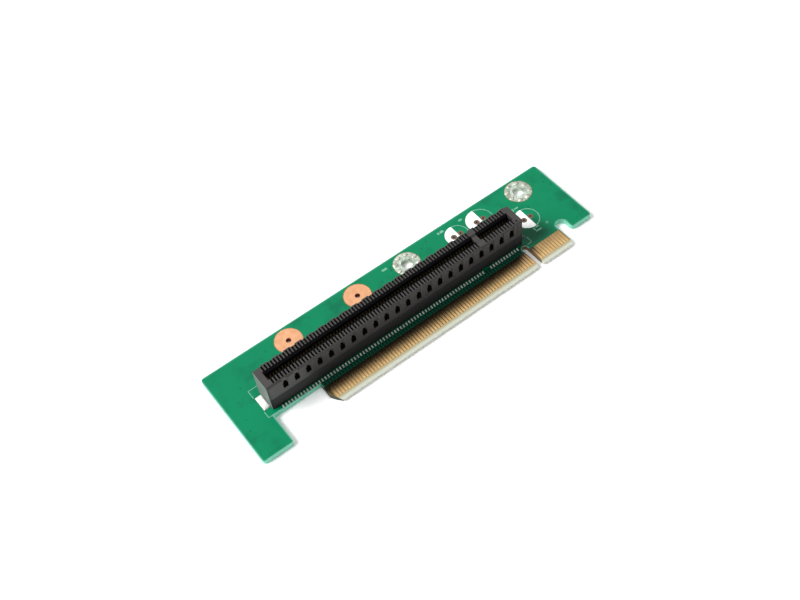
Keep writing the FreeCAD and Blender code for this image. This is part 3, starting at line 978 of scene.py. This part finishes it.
@dataclass
class TabSolder:
    """Mounds of solder that wet the hold-down tabs to their pads."""

    tin: Material
    spans: tuple[tuple[str, float, float, float], ...] = (
        ("left", -52.4, -50.32, 2.5), ("right", 38.22, 39.3, 1.4))
    rise: float = 0.85
    level: float = 0.74
    lean: float = 0.2
    ripple: float = 0.05

    def build(self) -> None:
        """Heap a mound over each tab's foot."""
        for name, left, right, half in self.spans:
            shape = bmesh.new()
            bmesh.ops.create_grid(shape, x_segments=20, y_segments=40, size=0.5)
            for vert in shape.verts:
                across, along = vert.co.x * 2, vert.co.y * 2
                toward = across if name == "left" else -across
                pillow = math.sqrt(max(0.0, (1 - across ** 6) * (1 - along ** 4)))
                wave = math.sin(5 * along + 2 * across)
                heap = self.level + self.lean * toward + self.ripple * wave
                vert.co = Vector(((left + right + across * (right - left)) / 2,
                                  SLOT_Y + along * half,
                                  LAND_TOP + self.rise * pillow * heap)) * MM
            rim = [e for e in shape.edges if e.is_boundary]
            skirt = bmesh.ops.extrude_edge_only(shape, edges=rim)["geom"]
            for vert in (v for v in skirt if isinstance(v, BMVert)):
                vert.co.z = LAND_TOP * MM
            bmesh.ops.edgeloop_fill(
                shape, edges=[e for e in shape.edges if e.is_boundary])
            finish_mesh(f"hold_down_solder_{name}", shape, self.tin, True)


# ---- The slot ----
class Side(Enum):
    """The two long sides of the slot, by the sign of their Y."""

    NEAR = -1
    FAR = 1


@dataclass
class SlotPart:
    """Something along the slot, measured from the middle of its key on the board."""

    material: Material

    def spot(self, along: float, across: float, up: float) -> Vector:
        """Turn a place on the slot, in millimetres, into Blender's metres."""
        return Vector((SLOT_KEY_X + along, SLOT_Y + across, BOARD_TOP + up)) * MM

    def add_bar(self, shape: BMesh, along: tuple[float, float], across: tuple[float, float],
                up: tuple[float, float], bevel: float = 0.0) -> list[BMVert]:
        """Add a bar between pairs of places in millimetres.

        Args:
            shape: The bmesh to add to.
            along: Its two ends along the slot.
            across: Its two sides across the slot, in either order.
            up: Its underside and its top.
            bevel: Width of the eased edge.

        Returns:
            The bar's vertices before any bevel.
        """
        near, far = sorted(across)
        return add_block(shape, self.spot(along[0], near, up[0]),
                         self.spot(along[1], far, up[1]), bevel * MM)


@dataclass
class FootSolder(SlotPart):
    """Solder joints at the toes of the contact rows, one for each foot."""

    offset: float = 1.5
    pitch: float = 1.0
    long_count: int = 71
    short_count: int = 11
    width: float = 0.46
    inner: float = 4.3
    outer: float = 5.06
    rise: float = 0.4
    toe_rise: float = 0.07
    crown: float = 0.7

    def build(self) -> None:
        """Flow both rows, with each joint narrower at its top and low at its toe."""
        places = [-self.offset - i * self.pitch for i in range(self.long_count)]
        places += [self.offset + i * self.pitch for i in range(self.short_count)]
        half = self.width / 2
        for side in Side:
            shape = bmesh.new()
            heel, tip = side.value * self.inner, side.value * self.outer
            for place in places:
                made = self.add_bar(shape, (place - half, place + half), (heel, tip),
                                    (0.0, self.rise))
                toe = self.spot(place, tip, self.rise / 2)
                for vert in (v for v in made if v.co.z > toe.z):
                    vert.co.x = toe.x + (vert.co.x - toe.x) * self.crown
                    if abs(vert.co.y - toe.y) < NEARBY * MM:
                        vert.co.z = (BOARD_TOP + self.toe_rise) * MM
            finish_mesh(f"foot_solder_{side.name.lower()}", shape, self.material)


@dataclass
class RimLips(SlotPart):
    """Thin lips that close the contact chambers at the mouth of the slot."""

    spans: tuple[tuple[str, float, float], ...] = (("long", -72.25, -0.85),
                                                   ("short", 0.85, 12.25))
    inner: float = 0.86
    outer: float = 1.52
    low: float = 8.9
    high: float = 10.595
    slope: float = 0.565

    def build(self) -> None:
        """Run a lip along each side of both card gaps."""
        for name, left, right in self.spans:
            shape = bmesh.new()
            for side in Side:
                mouth = side.value * self.inner
                made = self.add_bar(shape, (left, right), (mouth, side.value * self.outer),
                                    (self.low, self.high))
                edge = self.spot(left, mouth, self.low + NEARBY)
                for vert in (v for v in made if v.co.z > edge.z):
                    if abs(vert.co.y - edge.y) < NEARBY * MM:
                        vert.co.z -= self.slope * MM
            finish_mesh(f"rim_lips_{name}", shape, self.material)


@dataclass
class RimTeeth(SlotPart):
    """Square corners that the far wall keeps at the rim, between its grooves."""

    first: float = 11.975
    pitch: float = 3.75
    count: int = 23
    width: float = 2.16
    inner: float = 3.36
    outer: float = 3.79
    low: float = 9.85
    high: float = 10.52
    eased: float = 0.08

    def build(self) -> None:
        """Set a tooth on the eased rim over each length of plain wall."""
        shape, half = bmesh.new(), self.width / 2
        for index in range(self.count):
            x = self.first - index * self.pitch
            self.add_bar(shape, (x - half, x + half), (self.inner, self.outer),
                         (self.low, self.high), self.eased)
        finish_mesh("rim_teeth_far", shape, self.material)


@dataclass
class WindowShades(SlotPart):
    """Sheets of painted shade for the dark depth of the windows in the slot's long walls, and
    of their grooves.
    """

    first: float = 10.1
    pitch: float = 3.75
    count: int = 22
    width: float = 1.53
    low: float = 6.21
    high: float = 8.29
    back: float = 3.43
    front: float = 3.62
    streak: float = 0.8
    streak_high: float = 9.1

    def build(self) -> None:
        """Fill each window and its groove with painted shade, to just under the wall's face.
        """
        fills = ((self.width / 2, self.low, self.high),
                 (self.streak / 2, self.high, self.streak_high))
        for side in Side:
            shape = bmesh.new()
            across = (side.value * self.back, side.value * self.front)
            for index in range(self.count):
                x = self.first - index * self.pitch
                for half, low, high in fills:
                    self.add_bar(shape, (x - half, x + half), across, (low, high))
            finish_mesh(f"window_shades_{side.name.lower()}", shape, self.material)


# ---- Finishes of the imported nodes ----
class Finishes:
    """Every finish on the card, made once."""

    def __init__(self) -> None:
        """Make the finishes, with each metal's two tones as the eye gets them."""
        self.mask = SolderMask().make()
        self.plastic = MouldedPlastic().make()
        self.contact = ContactMetal().make()
        self.cavity = CavityBlack().make()
        self.gold = FingerGold().make()
        self.tin = Plating("hot_air_tinning", "#ccd8ca", "#a0ad9e", 0.3, 0.15, 1.1,
                           0.05).make()
        self.solder = Plating("reflowed_solder", "#e2e0d2", "#b5b7aa", 0.42, 0.15, 1.1,
                              0.03).make()
        # painted highlight: the joints get a near-white, mostly unmetallic colour that stands
        # for the glints of bright solder
        self.joint = Plating("solder_joint_painted_bright", "#e9ece6", "#cdd3cb", 0.4, 0.15, 0.7,
                             0.01, 0.25).make()
        # painted shade: the hold-down pads and the right tab, in the slot's shadow, take a
        # dark tin colour
        self.shaded_tin = Plating("tinning_in_painted_shade", "#5f6b64", "#4a564f", 0.5, 0.15, 0.9,
                                0.01).make()
        # the copper's last colour is painted shade on the probe bores' walls
        self.copper = Plating("clear_coated_copper", "#e0a67b", "#d4996e", 0.5, 0.1, 1.8,
                              0.005, 0.2, "#8a3a1c").make()
        # painted shade: the rim lips at the slot's mouth take a darker, unreflecting black
        self.lip = CavityBlack("moulded_polymer_shaded_at_mouth", "#1c1c20").make()
        self.old_copper = Plating("tarnished_copper", "#7d6757", "#664c3d", 0.5, 0.15,
                                  0.8, 0.004, 0.3).make()
        self.ink = LegendInk("solid_white_legend", "#ffffff", "#f4f7f4").make()
        self.thin_ink = LegendInk("thin_white_legend", "#7db59c", "#3f8f6d").make()

    def dress(self, nodes: dict[str, Object]) -> None:
        """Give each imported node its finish.

        Args:
            nodes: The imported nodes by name.
        """
        chosen = {
            "pcb_laminate": self.mask, "slot_housing": self.plastic,
            "edge_fingers_front": self.gold, "edge_fingers_back": self.gold,
            "mount_barrel_left": self.tin, "mount_barrel_right": self.tin,
            "probe_barrel_left": self.copper, "probe_barrel_right": self.copper,
            "contact_row_near": self.contact, "contact_row_far": self.contact,
            # the right hold-down and the pads wear the tin with painted shade
            "hold_down_left": self.joint, "hold_down_right": self.shaded_tin,
            "hold_down_pads": self.shaded_tin,
        }
        for name, piece in nodes.items():
            for material_slot in piece.material_slots:
                material_slot.material = chosen[name]
            LOG.info("dressed %s in %s", name, chosen[name].name)


# ---- Studio ----
@dataclass(frozen=True)
class SoftBox:
    """One soft area light that looks at the card, with sizes in metres and power in watts."""

    name: str
    place: tuple[float, float, float]
    wide: float
    tall: float
    power: float

    def hang(self) -> None:
        """Put the light in the scene."""
        data = bpy.data.lights.new(self.name, "AREA")
        data.energy = self.power
        data.shape = "RECTANGLE"
        data.size = self.wide
        data.size_y = self.tall
        lamp = bpy.data.objects.new(self.name, data)
        lamp.location = self.place
        lamp.rotation_euler = (-Vector(self.place)).to_track_quat("-Z", "Y").to_euler()
        bpy.context.scene.collection.objects.link(lamp)


@dataclass
class Studio:
    """A pale floor, soft lights and the camera, which is placed in millimetres."""

    camera_at: tuple[float, float, float] = (-96.30, -160.01, 258.66)
    camera_turn: tuple[float, float, float] = (35.864, 4.860, -36.864)
    lens: float = 49.806
    sky: float = 0.16
    floor_size: float = 3.0
    floor_drop: float = 0.02
    floor_glow: float = 0.12
    lights: tuple[SoftBox, ...] = (
        SoftBox("rear_softbox", (0.25, 1.1, 1.3), 1.8, 1.5, 11.5),
        SoftBox("key_softbox", (-1.35, 0.6, 1.3), 1.2, 1.2, 58.0),
        SoftBox("front_card", (0.6, -1.6, 0.95), 0.8, 0.8, 4.0),
        SoftBox("top_card", (0.5, -0.5, 1.6), 0.7, 0.7, 2.0))

    def build_floor(self) -> None:
        """Lay the floor just under the card."""
        shape = bmesh.new()
        bmesh.ops.create_grid(shape, x_segments=1, y_segments=1, size=self.floor_size)
        bmesh.ops.translate(shape, verts=shape.verts, vec=(0, 0, -self.floor_drop * MM))
        mesh = bpy.data.meshes.new("floor")
        shape.to_mesh(mesh)
        shape.free()
        floor = bpy.data.objects.new("floor", mesh)
        material, shader, at = begin_material("white_studio_paper")
        grain = at.patches(40.0, 0.3, 0.7)
        tint = node(at.tree, "Mix", RGBA, {"Factor": grain, "A": "#ffffff", "B": "#fdfdfd"})
        shader.inputs["Specular IOR Level"].default_value = 0.0
        shader.inputs["Emission Color"].default_value = linear("#ffffff")
        shader.inputs["Emission Strength"].default_value = self.floor_glow
        wire_surface(shader, tint, 0.9, grain, 0.001)
        mesh.materials.append(material)
        bpy.context.scene.collection.objects.link(floor)

    def build(self) -> None:
        """Set the world, the lights, the floor and the camera."""
        world = bpy.data.worlds.new("pale_studio")
        bpy.context.scene.world = world
        world.use_nodes = True
        world.node_tree.nodes.clear()
        sky = node(world.node_tree, "Background", {}, {
            "Color": "#ffffff", "Strength": self.sky})
        node(world.node_tree, "OutputWorld", {}, {"Surface": sky.outputs[0]})
        bpy.context.scene.view_settings.view_transform = "Standard"
        self.build_floor()
        for light in self.lights:
            light.hang()
        data = bpy.data.cameras.new("studio_camera")
        data.lens = self.lens
        data.sensor_width = 36.0
        data.clip_start, data.clip_end = 0.01, 20.0
        camera = bpy.data.objects.new("studio_camera", data)
        camera.location = Vector(self.camera_at) * MM
        camera.rotation_euler = Euler([math.radians(a) for a in self.camera_turn])
        bpy.context.scene.collection.objects.link(camera)
        bpy.context.scene.camera = camera


def main() -> None:
    """Build the card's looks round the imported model."""
    logging.basicConfig(level=logging.INFO, format="%(message)s")
    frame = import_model()
    finishes = Finishes()
    finishes.dress(frame["nodes"])
    Legend(finishes.ink, finishes.thin_ink).build()
    PinLands(finishes.old_copper).build()
    LandSolder(finishes.solder).build()
    FootSolder(finishes.joint).build()
    TabSolder(finishes.joint).build()
    RimLips(finishes.lip).build()
    RimTeeth(finishes.plastic).build()
    WindowShades(finishes.cavity).build()
    Studio().build()
    bpy.context.view_layer.update()


if __name__ == "__main__":
    main()
